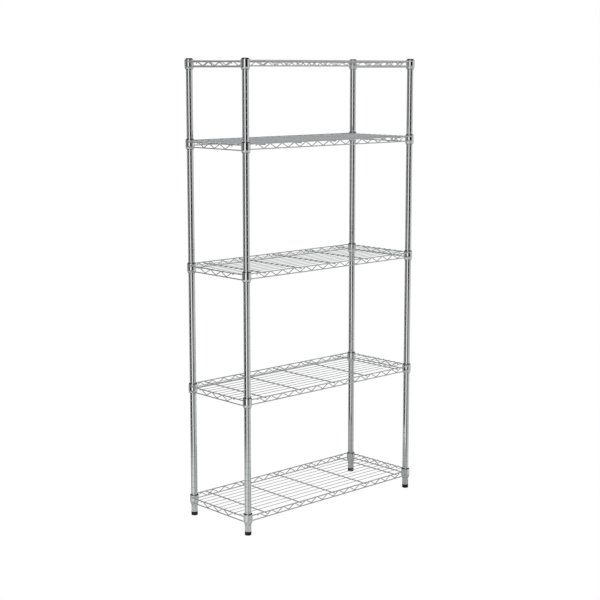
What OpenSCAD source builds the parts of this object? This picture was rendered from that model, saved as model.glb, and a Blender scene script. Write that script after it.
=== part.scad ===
// Five-tier wire shelving rack: four grooved posts in two sections each, five welded
// wire shelves held on split sleeves, and screw-in levelling feet.
// Millimetres. +X along the shelves, +Y to the back, +Z up, origin at the middle of the
// footprint on the floor.

/* [Overall] */
// Distance between post centres along a shelf
span_x = 890; // [700:5:1100]
// Distance between post centres from front to back
span_y = 330; // [300:5:450]

/* [Posts] */
// Outside diameter of the post tube
post_d = 25.4; // [24:0.1:26]
// Wall thickness of the post tube
post_wall = 1.2; // [1:0.1:1.6]
// Length of one post section, two to a post
section_len = 899.5; // [860:0.5:960]
// Spacing of the grooves that set the shelf heights
groove_pitch = 25.4; // [24:0.1:27]
// Depth of a groove
groove_depth = 0.35; // [0.2:0.05:0.5]

/* [Shelf heights] */
// Height of the lowest collar's bottom edge above the floor
first_shelf = 48; // [40:1:60]
// Groove steps from the lowest shelf up to the second
step_2 = 18; // [14:1:19]
// Groove steps from the lowest shelf up to the third
step_3 = 37; // [36:1:38]
// Groove steps from the lowest shelf up to the fourth
step_4 = 56; // [50:1:60]
// Groove steps from the lowest shelf up to the top one
step_5 = 68; // [65:1:68]

/* [Collars and sleeves] */
// Outside diameter of a collar
collar_d = 35; // [34:0.5:38]
// Height of a collar
collar_h = 35.5; // [33:0.5:37]
// Wall thickness of a sleeve at its top
sleeve_wall = 1.65; // [1.4:0.05:1.8]
// How much wider in radius a sleeve is at its bottom
sleeve_taper = 0.5; // [0.3:0.1:0.6]
// How far a sleeve stands above its collar
sleeve_stick_out = 3; // [2:0.5:5]
// How far a sleeve hangs below its collar
sleeve_below = 2; // [1:0.5:3]
// Width of the two slits between a sleeve's halves
sleeve_slit = 8; // [2:0.5:10]

/* [Shelf wires] */
// Diameter of the rails round the edge
rail_d = 4.5; // [4:0.1:5]
// Diameter of the cross rods under the deck
rod_d = 4.5; // [4:0.1:5]
// Diameter of the zigzag wire between the rails
truss_d = 3.5; // [3:0.1:4]
// Diameter of the deck wires
deck_d = 2.5; // [2:0.1:3]
// Number of deck wires
deck_count = 10; // [6:1:10]
// Spacing of the deck wires
deck_pitch = 30.8; // [20:0.1:30.8]
// Spacing of the cross rods
rod_pitch = 183.6; // [150:0.2:190]
// Number of upper bends in a long zigzag
long_bends = 14; // [8:2:14]
// Number of upper bends in a short zigzag
short_bends = 4; // [2:1:4]
// Spacing of the bends in a short zigzag
short_pitch = 63.2; // [50:0.2:64]

/* [Feet] */
// Height of a foot pad
foot_h = 14.5; // [10:0.5:16]
// Diameter of a foot pad
foot_d = 25.8; // [22:0.1:27]
// Diameter of the levelling screw
stud_d = 8; // [6:0.5:10]

/* [Hidden] */

// Corners, as signs of x and y
FRONT_LEFT = [-1, -1];
FRONT_RIGHT = [1, -1];
BACK_LEFT = [-1, 1];
BACK_RIGHT = [1, 1];
CORNERS = [FRONT_LEFT, FRONT_RIGHT, BACK_LEFT, BACK_RIGHT];
LEFT = [FRONT_LEFT, BACK_LEFT];
RIGHT = [FRONT_RIGHT, BACK_RIGHT];

post_r = post_d/2;
bore_r = post_r - post_wall;
cap_t = 2.5;
joint_z = foot_h + section_len;
post_top = joint_z + section_len;
shelf_z = [for (step = [0, step_2, step_3, step_4, step_5]) first_shelf + step*groove_pitch];

// Squeeze of a pressed-in or clipped-on piece, and clearance of a screw in its bush
squeeze = 0.05;
screw_gap = 0.08;

// Grooves run up both sections, and one of them is behind the middle of each sleeve
rib_h = collar_h/2 + 1;
groove_w = 2;
groove_floor_w = 0.8;
groove_z0 = first_shelf + rib_h - groove_pitch;
end_land = 7;

sleeve_r = post_r - squeeze;
sleeve_top_r = post_r + sleeve_wall;
sleeve_bottom_r = sleeve_top_r + sleeve_taper;
sleeve_h = collar_h + sleeve_stick_out;
slit_angle = 50;
taper_gap = 0.3;
collar_r = collar_d/2;
collar_bevel = 7;
collar_lip = 0.9;
collar_edge = 0.6;

// Rail heights above a collar's bottom edge; the side rails lie lower by one weld
upper_h = 31;
lower_h = 11.5;
weld = 0.5;
side_drop = (rail_d + rod_d)/2 - weld;
rail_out = collar_r - 0.5;
rail_x = span_x/2 + rail_out;
rail_y = span_y/2 + rail_out;
rail_end = 5.5;
rod_past = 4;
rod_h = upper_h - side_drop;
wire_weld = 0.3;
deck_h = rod_h + (rod_d + deck_d)/2 - wire_weld;

// Zigzags lie against the inner side of the rails
zigzag_amp = upper_h - lower_h - 3;
zigzag_mid = (upper_h + lower_h)/2;
zigzag_in = 3.4;
zigzag_tail = 12;
long_pitch = rod_pitch/3;

foot_gap = 0.3;
foot_round = 0.8;
stud_r = stud_d/2;
stud_top = foot_h + 34;
stud_bottom = 4.5;
bush_h = 22;
joint_stud_r = 5;
joint_stud_h = 36;
joint_bush_h = 20;

CHROME = [0.78, 0.79, 0.80];
WIRE = [0.70, 0.71, 0.72];
BLACK = [0.06, 0.06, 0.06];
NYLON = [0.85, 0.84, 0.80];
ZINC = [0.60, 0.62, 0.65];

function at_corner(c) = [c[0]*span_x/2, c[1]*span_y/2, 0];

// ---- Posts -------------------------------------------------------------------------

// One post section between two heights, with the grooves that fall inside it
module post_section(c, z0, z1) {
    count = floor((z1 - groove_z0)/groove_pitch) + 1;
    zs = [for (i = [0 : count]) groove_z0 + i*groove_pitch];
    grooves = [for (z = zs) if (z > z0 + end_land && z < z1 - end_land)
        each [[post_r, z - groove_w/2], [post_r - groove_depth, z - groove_floor_w/2],
              [post_r - groove_depth, z + groove_floor_w/2], [post_r, z + groove_w/2]]];
    translate(at_corner(c))
        rotate_extrude($fn = 64)
            polygon(concat([[bore_r, z0], [post_r, z0]], grooves, [[post_r, z1], [bore_r, z1]]));
}

module post_lower(c) {
    color(CHROME) post_section(c, foot_h, joint_z);
}

module post_upper(c) {
    color(CHROME) post_section(c, joint_z, post_top);
}

// A bush pressed into a tube, bored for a screw
module bush(r_hole, h) {
    difference() {
        cylinder(r = bore_r + squeeze, h = h, $fn = 48);
        translate([0, 0, -1]) cylinder(r = r_hole, h = h + 2, $fn = 48);
    }
}

// Two bushes at each post joint, one in each section
module joint_bushes() {
    color(NYLON)
        for (c = CORNERS, side = [0, 1])
            translate(at_corner(c) + [0, 0, joint_z - joint_bush_h*(1 - side) + (side - 0.5)*0.2])
                bush(joint_stud_r + screw_gap, joint_bush_h);
}

module joint_studs() {
    color(ZINC)
        for (c = CORNERS)
            translate(at_corner(c) + [0, 0, joint_z - joint_stud_h/2])
                cylinder(r = joint_stud_r, h = joint_stud_h, $fn = 48);
}

// A cap has a thin domed flange on the tube's end and a plug inside it
module top_caps() {
    plug_h = 12;
    flange_r = post_r - 0.1;
    color(BLACK)
        for (c = CORNERS)
            translate(at_corner(c) + [0, 0, post_top])
                rotate_extrude($fn = 64)
                    polygon([[0, 0], [8, 0], [8, -plug_h], [bore_r - 0.6, -plug_h],
                             [bore_r + squeeze, -plug_h + 1.5], [bore_r + squeeze, 0], [flange_r, 0],
                             [flange_r, cap_t - 1.2], [flange_r - 1.2, cap_t], [0, cap_t]]);
}

module foot_bushes() {
    color(NYLON)
        for (c = CORNERS)
            translate(at_corner(c) + [0, 0, foot_h])
                bush(stud_r + screw_gap, bush_h);
}

// ---- Sleeves -----------------------------------------------------------------------

// Two tapered half sleeves clipped round each post, each with a rib that sits in a groove
module sleeves(z, corners) {
    rib = groove_depth - 0.05;
    color(BLACK)
        for (c = corners)
            translate(at_corner(c) + [0, 0, z])
                difference() {
                    rotate_extrude($fn = 64)
                        polygon([[sleeve_r, -sleeve_below], [sleeve_bottom_r, -sleeve_below],
                                 [sleeve_bottom_r, 0], [sleeve_top_r, sleeve_h],
                                 [sleeve_r, sleeve_h],
                                 [sleeve_r, rib_h + 0.7], [post_r - rib, rib_h + 0.3],
                                 [post_r - rib, rib_h - 0.3], [sleeve_r, rib_h - 0.7]]);
                    rotate([0, 0, slit_angle])
                        translate([0, 0, sleeve_h/2])
                            cube([3*collar_d, sleeve_slit, 2*sleeve_h], center = true);
                }
}

// ---- Shelves -----------------------------------------------------------------------

// A collar is bored to the sleeve's taper, and turned in to a lip at the bottom
module collars(z) {
    lip_r = sleeve_bottom_r + taper_gap;
    rim_r = sleeve_bottom_r - sleeve_taper*collar_h/sleeve_h + taper_gap;
    color(CHROME)
        for (c = CORNERS)
            translate(at_corner(c) + [0, 0, z])
                rotate_extrude($fn = 64)
                    polygon([[lip_r, 0], [lip_r + collar_lip, 0], [collar_r, collar_bevel],
                             [collar_r, collar_h - collar_edge], [collar_r - collar_edge, collar_h],
                             [rim_r, collar_h]]);
}

// A straight wire centred on a point, along X or along Y
module wire_x(x, y, z, length, d) {
    translate([x - length/2, y, z]) rotate([0, 90, 0]) cylinder(d = d, h = length, $fn = 24);
}

module wire_y(x, y, z, length, d) {
    translate([x, y + length/2, z]) rotate([90, 0, 0]) cylinder(d = d, h = length, $fn = 24);
}

// The four rails round a shelf, ending inside the collars' walls
module rails(z) {
    color(WIRE)
        for (side = [-1, 1]) {
            wire_x(0, side*rail_y, z, span_x - 2*rail_end, rail_d);
            wire_y(side*rail_x, 0, z - side_drop, span_y - 2*rail_end, rail_d);
        }
}

// A wire from point p to point q in the XZ plane
module wire_xz(p, q, d) {
    run = q - p;
    translate([p[0], 0, p[1]])
        rotate([0, atan2(run[0], run[1]), 0])
            cylinder(d = d, h = norm(run), $fn = 24);
}

// A zigzag in the XZ plane, centred on the origin, with mitred bends and cut tails
module zigzag(bends, pitch) {
    half = pitch/2;
    last = (bends - 1)*half;
    slope = atan2(zigzag_amp, half);
    tail = [last + zigzag_tail*cos(slope), zigzag_amp/2 - zigzag_tail*sin(slope)];
    bend_points = [for (i = [0 : 2*bends - 2]) [i*half - last, (i % 2 == 0 ? 1 : -1)*zigzag_amp/2]];
    points = concat([[-tail[0], tail[1]]], bend_points, [tail]);
    for (i = [0 : len(points) - 2])
        wire_xz(points[i], points[i + 1], truss_d);
}

module zigzags(z) {
    color(WIRE)
        for (side = [-1, 1]) {
            translate([0, side*(rail_y - zigzag_in), z + zigzag_mid])
                zigzag(long_bends, long_pitch);
            translate([side*(rail_x - zigzag_in), 0, z + zigzag_mid - side_drop])
                rotate([0, 0, 90]) zigzag(short_bends, short_pitch);
        }
}

// Five rods welded under the long rails, their ends just past them
module cross_rods(z) {
    color(WIRE)
        for (i = [-2 : 2])
            wire_y(i*rod_pitch, 0, z + rod_h, 2*(rail_y + rod_past), rod_d);
}

// Thin wires lying on the cross rods and on the side rails
module deck_wires(z) {
    color(WIRE)
        for (i = [0 : deck_count - 1])
            wire_x(0, (i - (deck_count - 1)/2)*deck_pitch, z + deck_h, 2*rail_x + rail_d, deck_d);
}

// ---- Feet --------------------------------------------------------------------------

module foot_stud(c) {
    color(ZINC)
        translate(at_corner(c) + [0, 0, stud_bottom])
            cylinder(r = stud_r, h = stud_top - stud_bottom, $fn = 48);
}

// A round pad with a blind hole for the stud and a rounded foot
module foot_pad(c) {
    r = foot_d/2;
    top = foot_h - foot_gap;
    hole_r = stud_r + screw_gap;
    hole_z = stud_bottom - foot_gap;
    arc = [for (a = [0 : 15 : 90]) [r - foot_round + foot_round*sin(a), foot_round - foot_round*cos(a)]];
    color(BLACK)
        translate(at_corner(c))
            rotate_extrude($fn = 64)
                polygon(concat([[0, 0]], arc, [[r, top - 0.5], [r - 0.5, top], [hole_r, top],
                                              [hole_r, hole_z], [0, hole_z]]));
}

post_lower(FRONT_LEFT);  // post_lower_front_left
post_lower(FRONT_RIGHT);  // post_lower_front_right
post_lower(BACK_LEFT);  // post_lower_back_left
post_lower(BACK_RIGHT);  // post_lower_back_right
post_upper(FRONT_LEFT);  // post_upper_front_left
post_upper(FRONT_RIGHT);  // post_upper_front_right
post_upper(BACK_LEFT);  // post_upper_back_left
post_upper(BACK_RIGHT);  // post_upper_back_right
joint_bushes();
joint_studs();
top_caps();
foot_bushes();

sleeves(shelf_z[0], LEFT);  // sleeves_shelf1_left
sleeves(shelf_z[1], LEFT);  // sleeves_shelf2_left
sleeves(shelf_z[2], LEFT);  // sleeves_shelf3_left
sleeves(shelf_z[3], LEFT);  // sleeves_shelf4_left
sleeves(shelf_z[4], LEFT);  // sleeves_shelf5_left
sleeves(shelf_z[0], RIGHT);  // sleeves_shelf1_right
sleeves(shelf_z[1], RIGHT);  // sleeves_shelf2_right
sleeves(shelf_z[2], RIGHT);  // sleeves_shelf3_right
sleeves(shelf_z[3], RIGHT);  // sleeves_shelf4_right
sleeves(shelf_z[4], RIGHT);  // sleeves_shelf5_right

collars(shelf_z[0]);  // shelf1_collars
collars(shelf_z[1]);  // shelf2_collars
collars(shelf_z[2]);  // shelf3_collars
collars(shelf_z[3]);  // shelf4_collars
collars(shelf_z[4]);  // shelf5_collars

rails(shelf_z[0] + upper_h);  // shelf1_upper_rails
rails(shelf_z[1] + upper_h);  // shelf2_upper_rails
rails(shelf_z[2] + upper_h);  // shelf3_upper_rails
rails(shelf_z[3] + upper_h);  // shelf4_upper_rails
rails(shelf_z[4] + upper_h);  // shelf5_upper_rails

rails(shelf_z[0] + lower_h);  // shelf1_lower_rails
rails(shelf_z[1] + lower_h);  // shelf2_lower_rails
rails(shelf_z[2] + lower_h);  // shelf3_lower_rails
rails(shelf_z[3] + lower_h);  // shelf4_lower_rails
rails(shelf_z[4] + lower_h);  // shelf5_lower_rails

zigzags(shelf_z[0]);  // shelf1_zigzags
zigzags(shelf_z[1]);  // shelf2_zigzags
zigzags(shelf_z[2]);  // shelf3_zigzags
zigzags(shelf_z[3]);  // shelf4_zigzags
zigzags(shelf_z[4]);  // shelf5_zigzags

cross_rods(shelf_z[0]);  // shelf1_cross_rods
cross_rods(shelf_z[1]);  // shelf2_cross_rods
cross_rods(shelf_z[2]);  // shelf3_cross_rods
cross_rods(shelf_z[3]);  // shelf4_cross_rods
cross_rods(shelf_z[4]);  // shelf5_cross_rods

deck_wires(shelf_z[0]);  // shelf1_deck_wires
deck_wires(shelf_z[1]);  // shelf2_deck_wires
deck_wires(shelf_z[2]);  // shelf3_deck_wires
deck_wires(shelf_z[3]);  // shelf4_deck_wires
deck_wires(shelf_z[4]);  // shelf5_deck_wires

foot_stud(FRONT_LEFT);  // foot_stud_front_left
foot_stud(FRONT_RIGHT);  // foot_stud_front_right
foot_stud(BACK_LEFT);  // foot_stud_back_left
foot_stud(BACK_RIGHT);  // foot_stud_back_right
foot_pad(FRONT_LEFT);  // foot_pad_front_left
foot_pad(FRONT_RIGHT);  // foot_pad_front_right
foot_pad(BACK_LEFT);  // foot_pad_back_left
foot_pad(BACK_RIGHT);  // foot_pad_back_right
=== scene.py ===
"""Wire shelving rack: chrome grooved posts, five welded wire shelves on split black
sleeves, and levelling feet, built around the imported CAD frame."""

import math

import bmesh
import bpy
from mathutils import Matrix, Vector


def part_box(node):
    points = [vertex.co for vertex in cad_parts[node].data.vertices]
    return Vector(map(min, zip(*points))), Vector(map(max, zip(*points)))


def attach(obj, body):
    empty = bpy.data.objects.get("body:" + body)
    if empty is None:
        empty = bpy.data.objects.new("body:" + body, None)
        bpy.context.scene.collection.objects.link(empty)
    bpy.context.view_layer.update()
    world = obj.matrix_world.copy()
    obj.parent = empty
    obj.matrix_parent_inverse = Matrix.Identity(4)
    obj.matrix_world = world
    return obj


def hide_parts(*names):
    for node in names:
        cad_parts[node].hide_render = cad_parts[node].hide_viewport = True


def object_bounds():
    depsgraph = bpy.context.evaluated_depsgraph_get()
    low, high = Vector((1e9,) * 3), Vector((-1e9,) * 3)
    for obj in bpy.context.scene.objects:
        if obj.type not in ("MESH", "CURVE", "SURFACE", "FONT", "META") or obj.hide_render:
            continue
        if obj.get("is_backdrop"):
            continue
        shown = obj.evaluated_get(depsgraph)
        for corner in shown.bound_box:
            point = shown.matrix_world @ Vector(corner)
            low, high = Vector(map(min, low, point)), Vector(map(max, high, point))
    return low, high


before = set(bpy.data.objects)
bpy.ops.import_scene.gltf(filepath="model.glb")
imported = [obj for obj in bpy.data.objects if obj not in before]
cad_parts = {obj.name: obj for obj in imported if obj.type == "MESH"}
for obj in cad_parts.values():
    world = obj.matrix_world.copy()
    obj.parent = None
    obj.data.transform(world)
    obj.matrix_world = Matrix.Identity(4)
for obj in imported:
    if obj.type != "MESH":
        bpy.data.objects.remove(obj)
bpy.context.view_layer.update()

MM = 0.001
CORNERS = ("front_left", "front_right", "back_left", "back_right")
SHELVES = (1, 2, 3, 4, 5)

# ---- Camera ------------------------------------------------------------------------

cam_data = bpy.data.cameras.new("camera")
cam = bpy.data.objects.new("camera", cam_data)
bpy.context.scene.collection.objects.link(cam)
bpy.context.scene.camera = cam
LOOK_DOWN = 0.1551
LOOK_RIGHT = 0.7495
cam_data.sensor_width = 36.0
cam_data.lens = 81.77
cam_data.shift_y = -0.03
cam_data.clip_start = 0.05
cam_data.clip_end = 60.0
cam.location = (-3.7347, -3.9934, 1.7751)
cam.rotation_mode = "XYZ"
cam.rotation_euler = (math.pi / 2 - LOOK_DOWN, 0.0, -LOOK_RIGHT)


# ---- Mesh helpers ------------------------------------------------------------------


class Piece:
    """Collects rings of points into one mesh."""

    def __init__(self):
        self.bm = bmesh.new()

    def ring(self, points):
        return [self.bm.verts.new(p) for p in points]

    def bridge(self, a, b):
        n = len(a)
        for i in range(n):
            j = (i + 1) % n
            self.bm.faces.new((a[i], a[j], b[j], b[i]))

    def cap(self, ring, flip=False):
        self.bm.faces.new(list(reversed(ring)) if flip else ring)

    def lathe(self, centre, profile, segments, loop=True):
        """Turns a profile of (radius, height) about the vertical through centre. A point
        of radius 0 closes an end; loop joins the last point to the first."""
        rings = []
        for r, z in profile:
            if r < 1e-7:
                rings.append([self.bm.verts.new((centre[0], centre[1], z))])
                continue
            rings.append(
                self.ring(
                    (
                        centre[0] + r * math.cos(2 * math.pi * i / segments),
                        centre[1] + r * math.sin(2 * math.pi * i / segments),
                        z,
                    )
                    for i in range(segments)
                )
            )
        pairs = list(zip(rings, rings[1:]))
        if loop:
            pairs.append((rings[-1], rings[0]))
        for a, b in pairs:
            if len(a) == 1 and len(b) == 1:
                continue
            if len(a) == 1 or len(b) == 1:
                tip, rim = (a[0], b) if len(a) == 1 else (b[0], a)
                for i in range(segments):
                    j = (i + 1) % segments
                    order = (
                        (tip, rim[j], rim[i]) if len(a) == 1 else (rim[i], rim[j], tip)
                    )
                    self.bm.faces.new(order)
            else:
                self.bridge(a, b)

    def arc_solid(self, centre, profile, start, end, steps):
        """A closed profile turned through part of a circle, with flat ends."""
        rings = []
        for k in range(steps + 1):
            a = start + (end - start) * k / steps
            rings.append(
                self.ring(
                    (centre[0] + r * math.cos(a), centre[1] + r * math.sin(a), z)
                    for r, z in profile
                )
            )
        for a, b in zip(rings, rings[1:]):
            self.bridge(a, b)
        self.cap(rings[0], flip=True)
        self.cap(rings[-1])

    def wire(self, path, radius, sides=14, side=Vector((0, 0, 1)), nose=0.3 * MM):
        """A round wire along a path that lies in one plane; side is the plane's normal, or
        any direction across a straight path. Its ends are cut square and chamfered."""
        path = [Vector(p) for p in path]
        tangents = []
        for i in range(len(path)):
            before = path[i] - path[max(i - 1, 0)]
            after = path[min(i + 1, len(path) - 1)] - path[i]
            tangents.append((before.normalized() + after.normalized()).normalized())
        stations = [(path[0], tangents[0], radius - nose)]
        stations.append((path[0] + tangents[0] * nose, tangents[0], radius))
        stations += [(p, t, radius) for p, t in zip(path[1:-1], tangents[1:-1])]
        stations.append((path[-1] - tangents[-1] * nose, tangents[-1], radius))
        stations.append((path[-1], tangents[-1], radius - nose))
        rings = []
        for p, t, r in stations:
            u = side.cross(t).normalized()
            v = t.cross(u).normalized()
            rings.append(
                self.ring(
                    p
                    + u * (r * math.cos(2 * math.pi * k / sides))
                    + v * (r * math.sin(2 * math.pi * k / sides))
                    for k in range(sides)
                )
            )
        for a, b in zip(rings, rings[1:]):
            self.bridge(a, b)
        self.cap(rings[0], flip=True)
        self.cap(rings[-1])

    def bead(self, at, size, rings=4, sides=8):
        """A weld bead: a small ellipsoid of half-widths size in millimetres."""
        size = [MM * v for v in size]
        centre = Vector(at)
        loops = []
        for k in range(1, rings):
            a = math.pi * k / rings
            loops.append(
                self.ring(
                    centre
                    + Vector(
                        (
                            size[0] * math.sin(a) * math.cos(2 * math.pi * i / sides),
                            size[1] * math.sin(a) * math.sin(2 * math.pi * i / sides),
                            size[2] * math.cos(a),
                        )
                    )
                    for i in range(sides)
                )
            )
        top = self.bm.verts.new(centre + Vector((0, 0, size[2])))
        low = self.bm.verts.new(centre - Vector((0, 0, size[2])))
        for i in range(sides):
            j = (i + 1) % sides
            self.bm.faces.new((top, loops[0][i], loops[0][j]))
            self.bm.faces.new((low, loops[-1][j], loops[-1][i]))
        for a, b in zip(loops, loops[1:]):
            self.bridge(b, a)

    def make(self, name, material, body, replaces=(), sharp=35):
        bmesh.ops.recalc_face_normals(self.bm, faces=self.bm.faces)
        mesh = bpy.data.meshes.new(name)
        self.bm.to_mesh(mesh)
        self.bm.free()
        mesh.shade_smooth()
        mesh.set_sharp_from_angle(angle=math.radians(sharp))
        mesh.materials.append(material)
        obj = bpy.data.objects.new(name, mesh)
        bpy.context.scene.collection.objects.link(obj)
        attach(obj, body)
        if replaces:
            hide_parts(*replaces)
        return obj


def centre_of(node):
    lo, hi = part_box(node)
    return ((lo[0] + hi[0]) / 2, (lo[1] + hi[1]) / 2)


# ---- Materials ---------------------------------------------------------------------


def new_material(name):
    mat = bpy.data.materials.new(name)
    mat.use_nodes = True
    nodes = mat.node_tree.nodes
    return mat, nodes, mat.node_tree.links, nodes["Principled BSDF"]


def noise(nodes, links, coords, scale, detail=3.0, stretch=(1, 1, 1)):
    mapping = nodes.new("ShaderNodeMapping")
    mapping.inputs["Scale"].default_value = stretch
    links.new(coords, mapping.inputs["Vector"])
    tex = nodes.new("ShaderNodeTexNoise")
    tex.inputs["Scale"].default_value = scale
    tex.inputs["Detail"].default_value = detail
    links.new(mapping.outputs["Vector"], tex.inputs["Vector"])
    return tex.outputs["Fac"]


def ramp(nodes, links, value, lo, hi, lo_at=0.3, hi_at=0.7):
    """Maps a value between lo_at and hi_at to a number between lo and hi."""
    node = nodes.new("ShaderNodeMapRange")
    node.inputs["From Min"].default_value = lo_at
    node.inputs["From Max"].default_value = hi_at
    node.inputs["To Min"].default_value = lo
    node.inputs["To Max"].default_value = hi
    links.new(value, node.inputs["Value"])
    return node.outputs["Result"]


def tint(nodes, links, value, dark, light):
    """Mixes two colours by a value."""
    node = nodes.new("ShaderNodeMix")
    node.data_type = "RGBA"
    node.inputs[6].default_value = (*dark, 1)
    node.inputs[7].default_value = (*light, 1)
    links.new(value, node.inputs[0])
    return node.outputs[2]


def bump(nodes, links, height, strength, distance):
    node = nodes.new("ShaderNodeBump")
    node.inputs["Strength"].default_value = strength
    node.inputs["Distance"].default_value = distance
    links.new(height, node.inputs["Height"])
    return node.outputs["Normal"]


def chrome(name, dark, light, rough_lo, rough_hi, stretch):
    """Bright plating: faint cloudy colour, hazier patches and fine lines along the metal."""
    mat, nodes, links, bsdf = new_material(name)
    coords = nodes.new("ShaderNodeTexCoord").outputs["Object"]
    cloud = noise(nodes, links, coords, 14.0, 4.0)
    lines = noise(nodes, links, coords, 900.0, 2.0, stretch)
    bsdf.inputs["Metallic"].default_value = 1.0
    links.new(tint(nodes, links, cloud, dark, light), bsdf.inputs["Base Color"])
    links.new(
        ramp(nodes, links, cloud, rough_lo, rough_hi), bsdf.inputs["Roughness"]
    )
    links.new(bump(nodes, links, lines, 0.12, 0.00005), bsdf.inputs["Normal"])
    return mat


def plastic(name, dark, light, rough_lo, rough_hi, grain, depth):
    """Moulded plastic with a fine grain and slightly shinier worn patches."""
    mat, nodes, links, bsdf = new_material(name)
    coords = nodes.new("ShaderNodeTexCoord").outputs["Object"]
    patch = noise(nodes, links, coords, 60.0, 3.0)
    skin = noise(nodes, links, coords, grain, 2.0)
    links.new(tint(nodes, links, patch, dark, light), bsdf.inputs["Base Color"])
    links.new(
        ramp(nodes, links, patch, rough_hi, rough_lo), bsdf.inputs["Roughness"]
    )
    links.new(bump(nodes, links, skin, 0.35, depth), bsdf.inputs["Normal"])
    return mat


tube_chrome = chrome(
    "tube_chrome", (0.77, 0.78, 0.79), (0.83, 0.84, 0.85), 0.02, 0.06, (1, 1, 0.02)
)
wire_chrome = chrome(
    "wire_chrome", (0.70, 0.71, 0.72), (0.78, 0.79, 0.80), 0.12, 0.22, (0.1, 0.1, 1)
)
sleeve_black = plastic(
    "sleeve_black", (0.010, 0.010, 0.011), (0.018, 0.018, 0.019), 0.30, 0.45, 2500, 0.00003
)
foot_black = plastic(
    "foot_black", (0.005, 0.005, 0.005), (0.010, 0.010, 0.0095), 0.55, 0.75, 1800, 0.00005
)
nylon = plastic("nylon", (0.72, 0.71, 0.66), (0.80, 0.79, 0.74), 0.35, 0.5, 2000, 0.00003)
zinc = chrome("zinc", (0.50, 0.51, 0.53), (0.60, 0.61, 0.62), 0.25, 0.4, (1, 1, 0.2))

# ---- Posts -------------------------------------------------------------------------

GROOVE_PITCH = 25.4 * MM
GROOVE_DEPTH = 0.35 * MM
POST_SEGMENTS = 56
TUBE_WALL = 1.2 * MM
# Half of a groove: distance from its middle in mm, and share of the full depth
GROOVE_PROFILE = ((1.35, 0.0), (1.0, 0.0), (0.72, 0.6), (0.36, 1.0))
GROOVE_CLEAR = 7 * MM
END_ROUND = 0.35 * MM
END_CHAMFER = 0.1 * MM
COLLAR_HEIGHT = 35.5 * MM
RIB_ABOVE_MIDDLE = 1 * MM


def groove_heights(lo, hi, first):
    """Heights of the grooves that lie clear of both ends of a tube."""
    z = first
    while z < lo + GROOVE_CLEAR:
        z += GROOVE_PITCH
    while z < hi - GROOVE_CLEAR:
        yield z
        z += GROOVE_PITCH


def post_profile(lo, hi, radius, first):
    """A grooved tube as (radius, height) points, with rounded ends."""
    bore = radius - TUBE_WALL
    out = [
        (bore, lo),
        (radius - END_ROUND, lo),
        (radius - END_CHAMFER, lo + END_CHAMFER),
        (radius, lo + END_ROUND),
        (radius, lo + 2 * END_ROUND),
    ]
    for z in groove_heights(lo, hi, first):
        for d, cut in GROOVE_PROFILE:
            out.append((radius - cut * GROOVE_DEPTH, z - d * MM))
        for d, cut in reversed(GROOVE_PROFILE):
            out.append((radius - cut * GROOVE_DEPTH, z + d * MM))
    out += [
        (radius, hi - 2 * END_ROUND),
        (radius, hi - END_ROUND),
        (radius - END_CHAMFER, hi - END_CHAMFER),
        (radius - END_ROUND, hi),
        (bore, hi),
    ]
    return out


collar_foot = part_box("shelf1_collars")[0][2]
first_groove = collar_foot + COLLAR_HEIGHT / 2 + RIB_ABOVE_MIDDLE - GROOVE_PITCH

for corner in CORNERS:
    for part in ("lower", "upper"):
        node = f"post_{part}_{corner}"
        lo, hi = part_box(node)
        radius = (hi[0] - lo[0]) / 2
        piece = Piece()
        piece.lathe(
            centre_of(node), post_profile(lo[2], hi[2], radius, first_groove), POST_SEGMENTS
        )
        piece.make(f"{node}_tube", tube_chrome, "frame", [node], sharp=50)

# ---- Post caps ---------------------------------------------------------------------

CAP_SEGMENTS = 48
PLUG_DEPTH = 12 * MM
PLUG_RADIUS = 11.5 * MM
PLUG_TIP_RADIUS = 10.6 * MM
PLUG_TAPER = 1.5 * MM
CROWN_ROUND = 1.6 * MM

cap_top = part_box("top_caps")[1][2]
tube_lo, tube_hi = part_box("post_upper_front_left")
post_radius = (tube_hi[0] - tube_lo[0]) / 2
caps = Piece()
for corner in CORNERS:
    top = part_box(f"post_upper_{corner}")[1][2]
    rim = post_radius - 0.1 * MM
    height = cap_top - top
    # The plug inside the tube, then the crown over its end
    profile = [
        (0, top - PLUG_DEPTH),
        (PLUG_TIP_RADIUS, top - PLUG_DEPTH),
        (PLUG_RADIUS, top - PLUG_DEPTH + PLUG_TAPER),
        (PLUG_RADIUS, top + 0.02 * MM),
        (rim - 0.15 * MM, top + 0.02 * MM),
        (rim, top + 0.2 * MM),
    ]
    for k in range(7):
        a = math.radians(15 * k)
        profile.append(
            (
                rim - CROWN_ROUND + CROWN_ROUND * math.cos(a),
                top + 0.7 * MM + (height - 0.9 * MM) * math.sin(a),
            )
        )
    profile += [(rim * 0.6, top + height - 0.08 * MM), (0, top + height)]
    caps.lathe(centre_of(f"post_upper_{corner}"), profile, CAP_SEGMENTS, loop=False)
caps.make("post_top_caps", sleeve_black, "frame", ["top_caps"])

# ---- Feet --------------------------------------------------------------------------

THREAD_PITCH = 1.25 * MM
THREAD_DEPTH = 0.70 * MM
THREAD_SIDES = 32
ROWS_PER_TURN = 8
FADE_ROWS = 10  # rows over which the thread runs out at an end
FLAT = 0.14  # share of a flank's run that is flat at the root and at the crest
PAD_SEGMENTS = 64
SOLE_ROUND = 0.9 * MM
STUD_HOLE = 4.08 * MM
HOLE_FLOOR = 4.2 * MM

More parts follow.
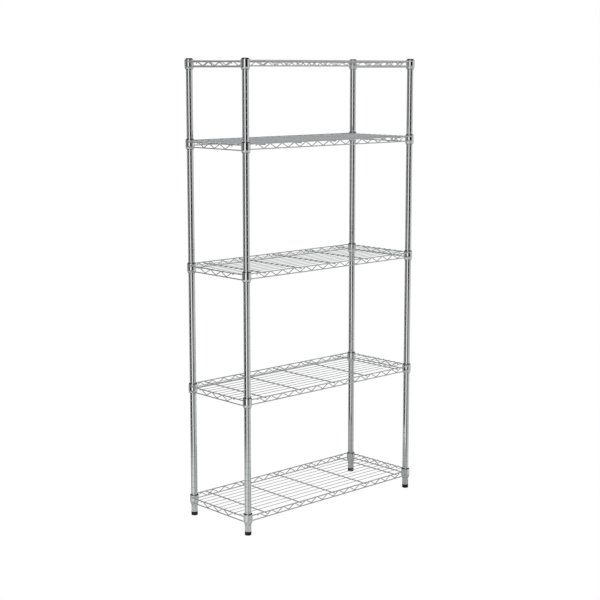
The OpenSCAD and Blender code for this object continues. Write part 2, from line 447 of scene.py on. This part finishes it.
for corner in CORNERS:
    # Levelling stud with its thread cut as a helix
    node = f"foot_stud_{corner}"
    lo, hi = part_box(node)
    x, y = centre_of(node)
    major = (hi[0] - lo[0]) / 2
    minor = major - THREAD_DEPTH
    rows = int((hi[2] - lo[2]) / (THREAD_PITCH / ROWS_PER_TURN))
    piece = Piece()
    rings = []
    for k in range(rows + 1):
        z = lo[2] + (hi[2] - lo[2]) * k / rows
        end = min(k, rows - k) / FADE_ROWS
        ring = []
        for i in range(THREAD_SIDES):
            a = 2 * math.pi * i / THREAD_SIDES
            phase = (z / THREAD_PITCH - i / THREAD_SIDES) % 1.0
            ridge = 1 - abs(2 * phase - 1)
            ridge = min(max((ridge - FLAT) / (1 - 2 * FLAT), 0), 1)
            r = minor + (major - minor) * ridge
            r = min(r, minor + (major - minor) * end)
            ring.append((x + r * math.cos(a), y + r * math.sin(a), z))
        rings.append(piece.ring(ring))
    for a, b in zip(rings, rings[1:]):
        piece.bridge(a, b)
    piece.cap(rings[0], flip=True)
    piece.cap(rings[-1])
    body = f"foot_stud_body_{corner}"
    piece.make(f"{node}_thread", zinc, body, [node], sharp=60)

    # Pad with a rounded sole, a softened top edge and a hole for the stud
    node = f"foot_pad_{corner}"
    lo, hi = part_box(node)
    r = (hi[0] - lo[0]) / 2
    top = hi[2]
    profile = [(0, 0)]
    for k in range(9):
        a = math.radians(90 * k / 8)
        profile.append(
            (
                r - SOLE_ROUND + SOLE_ROUND * math.sin(a),
                SOLE_ROUND - SOLE_ROUND * math.cos(a),
            )
        )
    profile += [
        (r, 1.4 * MM),
        (r, top - 0.9 * MM),
        (r, top - 0.5 * MM),
        (r - 0.15 * MM, top - 0.15 * MM),
        (r - 0.5 * MM, top),
        (r - 0.9 * MM, top),
        (STUD_HOLE + 0.4 * MM, top),
        (STUD_HOLE, top - 0.4 * MM),
        (STUD_HOLE, HOLE_FLOOR),
        (0, HOLE_FLOOR),
    ]
    piece = Piece()
    piece.lathe(centre_of(node), profile, PAD_SEGMENTS, loop=False)
    body = f"foot_pad_body_{corner}"
    piece.make(f"{node}_moulded", foot_black, body, [node])

# ---- Sleeves and collars -----------------------------------------------------------

HALF_SLIT = 4.0 * MM
SLIT_ANGLE = math.radians(50)
SLEEVE_BOTTOM_RADIUS = 14.85 * MM
SLEEVE_TOP_RADIUS = 14.35 * MM
HALF_STEPS = 26
COLLAR_SEGMENTS = 64
COLLAR_RADIUS = 17.5 * MM
# The collar's lower edge and taper: radius, and height over that edge, in mm
COLLAR_TAPER = (
    (15.15, 0.25), (15.3, 0), (15.45, 0), (15.75, 0.25), (16.05, 0.65), (16.33, 1.3),
    (16.56, 2.3), (17.0, 5.2), (17.25, 6.6), (17.42, 7.6),
)

for s in SHELVES:
    for side in ("left", "right"):
        node = f"sleeves_shelf{s}_{side}"
        lo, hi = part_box(node)
        z0, z1 = lo[2], hi[2]
        bottom_r, top_r = SLEEVE_BOTTOM_RADIUS, SLEEVE_TOP_RADIUS
        profile = [
            (post_radius, z0),
            (bottom_r - 0.2 * MM, z0),
            (bottom_r, z0 + 0.2 * MM),
            (bottom_r + (top_r - bottom_r) * 0.97, z1 - 1.1 * MM),
            (top_r - 0.06 * MM, z1 - 0.45 * MM),
            (top_r - 0.25 * MM, z1 - 0.12 * MM),
            (top_r - 0.6 * MM, z1),
            (post_radius + 0.25 * MM, z1),
            (post_radius, z1 - 0.25 * MM),
        ]
        slit = math.asin(HALF_SLIT / top_r)
        piece = Piece()
        for corner in (f"front_{side}", f"back_{side}"):
            centre = centre_of(f"post_lower_{corner}")
            for half in (0, 1):
                start = SLIT_ANGLE + math.pi * half + slit
                end = start + math.pi - 2 * slit
                piece.arc_solid(centre, profile, start, end, HALF_STEPS)
        piece.make(f"{node}_moulded", sleeve_black, "frame", [node])

for s in SHELVES:
    node = f"shelf{s}_collars"
    lo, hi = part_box(node)
    z0, z1 = lo[2], hi[2]
    profile = [(r * MM, z0 + up * MM) for r, up in COLLAR_TAPER]
    profile += [
        (COLLAR_RADIUS, z0 + 8.8 * MM),
        (COLLAR_RADIUS, z0 + 9.8 * MM),
        (COLLAR_RADIUS, z1 - 1.6 * MM),
        (COLLAR_RADIUS, z1 - 0.8 * MM),
        (COLLAR_RADIUS - 0.18 * MM, z1 - 0.25 * MM),
        (COLLAR_RADIUS - 0.6 * MM, z1),
        (15.1 * MM, z1),
        (14.72 * MM, z1 - 0.4 * MM),
    ]
    piece = Piece()
    for corner in CORNERS:
        piece.lathe(centre_of(f"post_lower_{corner}"), profile, COLLAR_SEGMENTS)
    piece.make(f"{node}_turned", tube_chrome, f"shelf{s}", [node])

# ---- Shelf wires -------------------------------------------------------------------

ROD_PITCH = 183.6 * MM
RODS = (-2, -1, 0, 1, 2)
DECK_PITCH = 30.8 * MM
DECK_WIRES = 10
RAIL_RADIUS = 2.25 * MM
RAIL_INTO_COLLAR = 5.5 * MM  # from the post's axis to the end of a rail
RAIL_HALF_GAP = 9.75 * MM
MID_HEIGHT = 21.25 * MM  # from the collar's lower edge to halfway between the rails
SIDE_DROP = 4 * MM  # the short rails lie this much lower than the long ones
LONG_BENDS, LONG_PITCH = 14, ROD_PITCH / 3
SHORT_BENDS, SHORT_PITCH = 4, 63.2 * MM
ZIGZAG_RADIUS = 1.75 * MM
ZIGZAG_IN = 3.4 * MM  # how far the zigzags stand inside the rails
ZIGZAG_HALF = 8.25 * MM
TAIL = 12 * MM
BEND_RADIUS = 5 * MM
BEND_STEPS = 6
WELD_IN = 1.9 * MM


def zigzag_path(bends, pitch):
    """A zigzag about the origin as (along, up) points, with its corners rounded."""
    half = pitch / 2
    last = (bends - 1) * half
    slope = math.atan2(2 * ZIGZAG_HALF, half)
    lift = BEND_RADIUS * (1 / math.cos(slope) - 1)
    high = ZIGZAG_HALF + lift
    slope = math.atan2(2 * high, half)
    tail_x = last + TAIL * math.cos(slope)
    tail_z = high - TAIL * math.sin(slope)
    corners = [(-tail_x, tail_z)]
    for i in range(2 * bends - 1):
        corners.append((i * half - last, high if i % 2 == 0 else -high))
    corners.append((tail_x, tail_z))
    path = [corners[0]]
    for before, here, after in zip(corners, corners[1:], corners[2:]):
        into = Vector((here[0] - before[0], here[1] - before[1])).normalized()
        out = Vector((after[0] - here[0], after[1] - here[1])).normalized()
        turn = into.angle(out)
        cut = BEND_RADIUS * math.tan(turn / 2)
        sign = 1 if into.x * out.y - into.y * out.x > 0 else -1
        start = Vector(here) - into * cut
        middle = start + Vector((-into.y, into.x)) * (sign * BEND_RADIUS)
        arm = start - middle
        for k in range(BEND_STEPS + 1):
            a = sign * turn * k / BEND_STEPS
            path.append(
                (
                    middle.x + arm.x * math.cos(a) - arm.y * math.sin(a),
                    middle.y + arm.x * math.sin(a) + arm.y * math.cos(a),
                )
            )
    path.append(corners[-1])
    return path


long_path = zigzag_path(LONG_BENDS, LONG_PITCH)
short_path = zigzag_path(SHORT_BENDS, SHORT_PITCH)
end_x = centre_of("post_lower_front_right")[0] - RAIL_INTO_COLLAR
end_y = centre_of("post_lower_back_right")[1] - RAIL_INTO_COLLAR

for s in SHELVES:
    body = f"shelf{s}"
    for level in ("upper", "lower"):
        node = f"shelf{s}_{level}_rails"
        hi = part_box(node)[1]
        rail_x, rail_y = hi[0] - RAIL_RADIUS, hi[1] - RAIL_RADIUS
        z = hi[2] - RAIL_RADIUS
        zs = z - SIDE_DROP
        piece = Piece()
        for side in (-1, 1):
            y = side * rail_y
            piece.wire([(-end_x, y, z), (end_x, y, z)], RAIL_RADIUS, 16)
            x = side * rail_x
            piece.wire([(x, -end_y, zs), (x, end_y, zs)], RAIL_RADIUS, 16)
        piece.make(f"{node}_wire", wire_chrome, body, [node])

    node = f"shelf{s}_zigzags"
    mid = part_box(f"shelf{s}_collars")[0][2] + MID_HEIGHT
    piece = Piece()
    for side in (-1, 1):
        y = side * (rail_y - ZIGZAG_IN)
        path = [(a, y, mid + up) for a, up in long_path]
        piece.wire(path, ZIGZAG_RADIUS, 12, Vector((0, 1, 0)))
        x = side * (rail_x - ZIGZAG_IN)
        path = [(x, a, mid - SIDE_DROP + up) for a, up in short_path]
        piece.wire(path, ZIGZAG_RADIUS, 12, Vector((1, 0, 0)))
    # Welds where the bends meet the rails
    for bends, pitch, drop, lengthwise in (
        (LONG_BENDS, LONG_PITCH, 0, True),
        (SHORT_BENDS, SHORT_PITCH, SIDE_DROP, False),
    ):
        for i in range(2 * bends - 1):
            a = (i - (bends - 1)) * pitch / 2
            up = (RAIL_HALF_GAP - 0.5 * MM) * (1 if i % 2 == 0 else -1)
            z = mid - drop + up
            for side in (-1, 1):
                if lengthwise:
                    piece.bead((a, side * (rail_y - WELD_IN), z), (3.0, 1.0, 2.2))
                else:
                    piece.bead((side * (rail_x - WELD_IN), a, z), (1.0, 3.0, 2.2))
    piece.make(f"{node}_wire", wire_chrome, body, [node])

    node = f"shelf{s}_cross_rods"
    lo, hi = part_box(node)
    rod_r = (hi[2] - lo[2]) / 2
    rod_z = (hi[2] + lo[2]) / 2
    bead_z = rod_z + rod_r - 0.2 * MM
    piece = Piece()
    for k in RODS:
        x = k * ROD_PITCH
        piece.wire([(x, lo[1], rod_z), (x, hi[1], rod_z)], rod_r, 16)
        for side in (-1, 1):
            piece.bead((x, side * rail_y, bead_z), (2.1, 2.1, 0.8))
    piece.make(f"{node}_wire", wire_chrome, body, [node])

    node = f"shelf{s}_deck_wires"
    lo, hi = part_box(node)
    deck_r = (hi[2] - lo[2]) / 2
    deck_z = (hi[2] + lo[2]) / 2
    bead_z = deck_z - deck_r + 0.1 * MM
    piece = Piece()
    for row in range(DECK_WIRES):
        y = (row - (DECK_WIRES - 1) / 2) * DECK_PITCH
        path = [(lo[0], y, deck_z), (hi[0], y, deck_z)]
        piece.wire(path, deck_r, 14, nose=0.25 * MM)
        for x in (-rail_x, *(k * ROD_PITCH for k in RODS), rail_x):
            piece.bead((x, y, bead_z), (1.7, 1.7, 0.7))
    piece.make(f"{node}_wire", wire_chrome, body, [node])

# ---- Finish of the CAD pieces inside the posts --------------------------------------

for name, mat in (
    ("joint_bushes", nylon),
    ("foot_bushes", nylon),
    ("joint_studs", zinc),
):
    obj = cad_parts[name]
    if not obj.material_slots:
        obj.data.materials.append(mat)
    for slot in obj.material_slots:
        slot.material = mat

# ---- Floor -------------------------------------------------------------------------

# A pale sheet that lies a little more than the feet's travel below the pads, so that they
# stay in view when they are screwed out. It glows with a painted pool of light, an emission
# strongest towards the rack's left end that the chrome sees, and the camera sees it as plain
# white.
FLOOR_DROP = 12.5 * MM
FLOOR_RADII = (0.35, 0.64)
FLOOR_SIDES = 96

disc = bmesh.new()
rims = [
    [
        disc.verts.new((r * math.cos(a), r * math.sin(a), -FLOOR_DROP))
        for a in (2 * math.pi * k / FLOOR_SIDES for k in range(FLOOR_SIDES))
    ]
    for r in FLOOR_RADII
]
disc.faces.new(rims[0])
for k in range(FLOOR_SIDES):
    disc.faces.new((rims[0][k - 1], rims[1][k - 1], rims[1][k], rims[0][k]))
floor_mesh = bpy.data.meshes.new("floor")
disc.to_mesh(floor_mesh)
disc.free()
floor = bpy.data.objects.new("floor", floor_mesh)
bpy.context.scene.collection.objects.link(floor)
floor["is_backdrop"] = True

sheet, fn, fl, sheet_bsdf = new_material("pale_sheet_painted_pool")
fn.remove(sheet_bsdf)
# Painted pool of light: the sheet's own emission grows towards the rack's left end, so the
# chrome reflects a lit floor there.
along = fn.new("ShaderNodeVectorMath")
along.operation = "DOT_PRODUCT"
fl.new(fn.new("ShaderNodeTexCoord").outputs["Object"], along.inputs[0])
along.inputs[1].default_value = (-1.0, -0.05, 0.0)
painted_pool_strength = ramp(fn, fl, along.outputs["Value"], 0.16, 0.40, -0.6, 0.6)
painted_light_pool = fn.new("ShaderNodeEmission")
fl.new(painted_pool_strength, painted_light_pool.inputs["Strength"])
paper = fn.new("ShaderNodeBsdfDiffuse")
paper.inputs["Color"].default_value = (0.42, 0.42, 0.415, 1)
both = fn.new("ShaderNodeAddShader")
fl.new(paper.outputs[0], both.inputs[0])
fl.new(painted_light_pool.outputs[0], both.inputs[1])
bright = fn.new("ShaderNodeEmission")
seen = fn.new("ShaderNodeMixShader")
fl.new(fn.new("ShaderNodeLightPath").outputs["Is Camera Ray"], seen.inputs[0])
fl.new(both.outputs[0], seen.inputs[1])
fl.new(bright.outputs[0], seen.inputs[2])
fl.new(seen.outputs[0], fn["Material Output"].inputs["Surface"])
floor_mesh.materials.append(sheet)

# ---- Light -------------------------------------------------------------------------

scene = bpy.context.scene
scene.view_settings.view_transform = "Standard"
world = bpy.data.worlds.new("studio")
scene.world = world
world.use_nodes = True
wn, wl = world.node_tree.nodes, world.node_tree.links
wn.clear()


def grey_ramp(value, stops):
    """A ramp of greys round the room. Stops are (degrees, grey), with the degrees counted
    from the camera's side, anticlockwise as seen from above."""
    node = wn.new("ShaderNodeValToRGB")
    elements = node.color_ramp.elements
    node.color_ramp.interpolation = "LINEAR"
    for k, (degrees, _) in enumerate(stops):
        at = (degrees + 180) / 360
        element = elements[k] if k < 2 else elements.new(at)
        element.position = at
    for element, (_, grey) in zip(elements, stops):
        element.color = (grey, grey, grey, 1)
    wl.new(value, node.inputs["Fac"])
    return node.outputs["Color"]


def blend_by(value, lo, hi, below, above):
    """below under the elevation lo, above over hi, mixed smoothly between. Elevations are
    in degrees, and value is the sine of the elevation."""
    at = wn.new("ShaderNodeMapRange")
    at.interpolation_type = "SMOOTHSTEP"
    at.inputs["From Min"].default_value = math.sin(math.radians(lo))
    at.inputs["From Max"].default_value = math.sin(math.radians(hi))
    wl.new(value, at.inputs["Value"])
    node = wn.new("ShaderNodeMix")
    node.data_type = "RGBA"
    wl.new(at.outputs["Result"], node.inputs[0])
    for socket, colour in ((6, below), (7, above)):
        if isinstance(colour, float):
            node.inputs[socket].default_value = (colour, colour, colour, 1)
        else:
            wl.new(colour, node.inputs[socket])
    return node.outputs[2]


# The room that lights the rack and shows in the chrome: walls of light and dark bands
# under a grey ceiling. The camera sees plain white in its place. The room is fixed in
# space, turned so that angle 0 lies on the side of the main camera's place.
turn = wn.new("ShaderNodeVectorRotate")
turn.rotation_type = "Z_AXIS"
turn.inputs["Angle"].default_value = -math.atan2(cam.location.y, cam.location.x)
wl.new(wn.new("ShaderNodeTexCoord").outputs["Generated"], turn.inputs["Vector"])
split = wn.new("ShaderNodeSeparateXYZ")
wl.new(turn.outputs["Vector"], split.inputs[0])
angle = wn.new("ShaderNodeMath")
angle.operation = "ARCTAN2"
wl.new(split.outputs["Y"], angle.inputs[0])
wl.new(split.outputs["X"], angle.inputs[1])
around = wn.new("ShaderNodeMapRange")
around.inputs["From Min"].default_value = -math.pi
around.inputs["From Max"].default_value = math.pi
wl.new(angle.outputs[0], around.inputs["Value"])

# Greys round the room in four bands of elevation, from the lowest: base, low, high, top.
# Degrees count as in grey_ramp.
WALLS_HIGH = (
    (-180, 0.85), (-168, 0.85), (-160, 0.10), (-138, 0.08), (-128, 0.50), (-105, 0.34),
    (-88, 0.20), (-66, 0.13), (-50, 0.07), (-38, 0.06), (-31, 0.88), (-6, 1.10), (0, 0.88),
    (3, 0.002), (49, 0.002), (56, 0.24), (68, 0.42), (95, 0.66), (122, 0.80), (132, 0.75),
    (140, 0.12), (158, 0.08), (166, 0.80), (180, 0.85),
)
WALLS_TOP = (
    (-180, 0.10), (-120, 0.12), (-88, 0.20), (-40, 0.10), (-30, 0.60), (-4, 0.70), (4, 0.03),
    (50, 0.03), (66, 0.30), (92, 0.40), (116, 0.16), (180, 0.10),
)
WALLS_LOW = (
    (-180, 0.85), (-168, 0.85), (-160, 0.10), (-138, 0.08), (-128, 0.50), (-105, 0.34),
    (-86, 0.15), (-70, 0.05), (-58, 0.008), (-36, 0.008), (-31, 0.88), (-6, 1.10), (3, 0.88),
    (8, 0.04), (27, 0.04), (34, 0.30), (66, 0.44), (95, 0.66), (122, 0.80), (132, 0.75),
    (140, 0.12), (158, 0.08), (166, 0.80), (180, 0.85),
)
WALLS_BASE = (
    (-180, 0.85), (-168, 0.85), (-160, 0.16), (-138, 0.14), (-128, 0.48), (-112, 0.30),
    (-84, 0.52), (-34, 0.80), (-10, 0.62), (6, 0.44), (40, 0.46), (78, 0.58), (120, 0.78),
    (132, 0.74), (140, 0.20), (158, 0.18), (166, 0.80), (180, 0.85),
)
DEEP_GREY = 0.10
CEILING_GREY = 0.48

height = split.outputs["Z"]
base, low, high, top = (
    grey_ramp(around.outputs[0], stops)
    for stops in (WALLS_BASE, WALLS_LOW, WALLS_HIGH, WALLS_TOP)
)
walls = blend_by(height, -11.0, -7.5, low, high)
room = blend_by(height, -17.3, -15.0, base, walls)
room = blend_by(height, -58.0, -46.0, DEEP_GREY, room)
room = blend_by(height, 1.0, 5.0, room, top)
room = blend_by(height, 26.0, 38.0, room, CEILING_GREY)

back = wn.new("ShaderNodeBackground")
wl.new(room, back.inputs["Color"])
white = wn.new("ShaderNodeBackground")
white.inputs["Color"].default_value = (1, 1, 1, 1)
rays = wn.new("ShaderNodeLightPath")
mix = wn.new("ShaderNodeMixShader")
wl.new(rays.outputs["Is Camera Ray"], mix.inputs[0])
wl.new(back.outputs[0], mix.inputs[1])
wl.new(white.outputs[0], mix.inputs[2])
out = wn.new("ShaderNodeOutputWorld")
wl.new(mix.outputs[0], out.inputs["Surface"])

lo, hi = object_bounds()
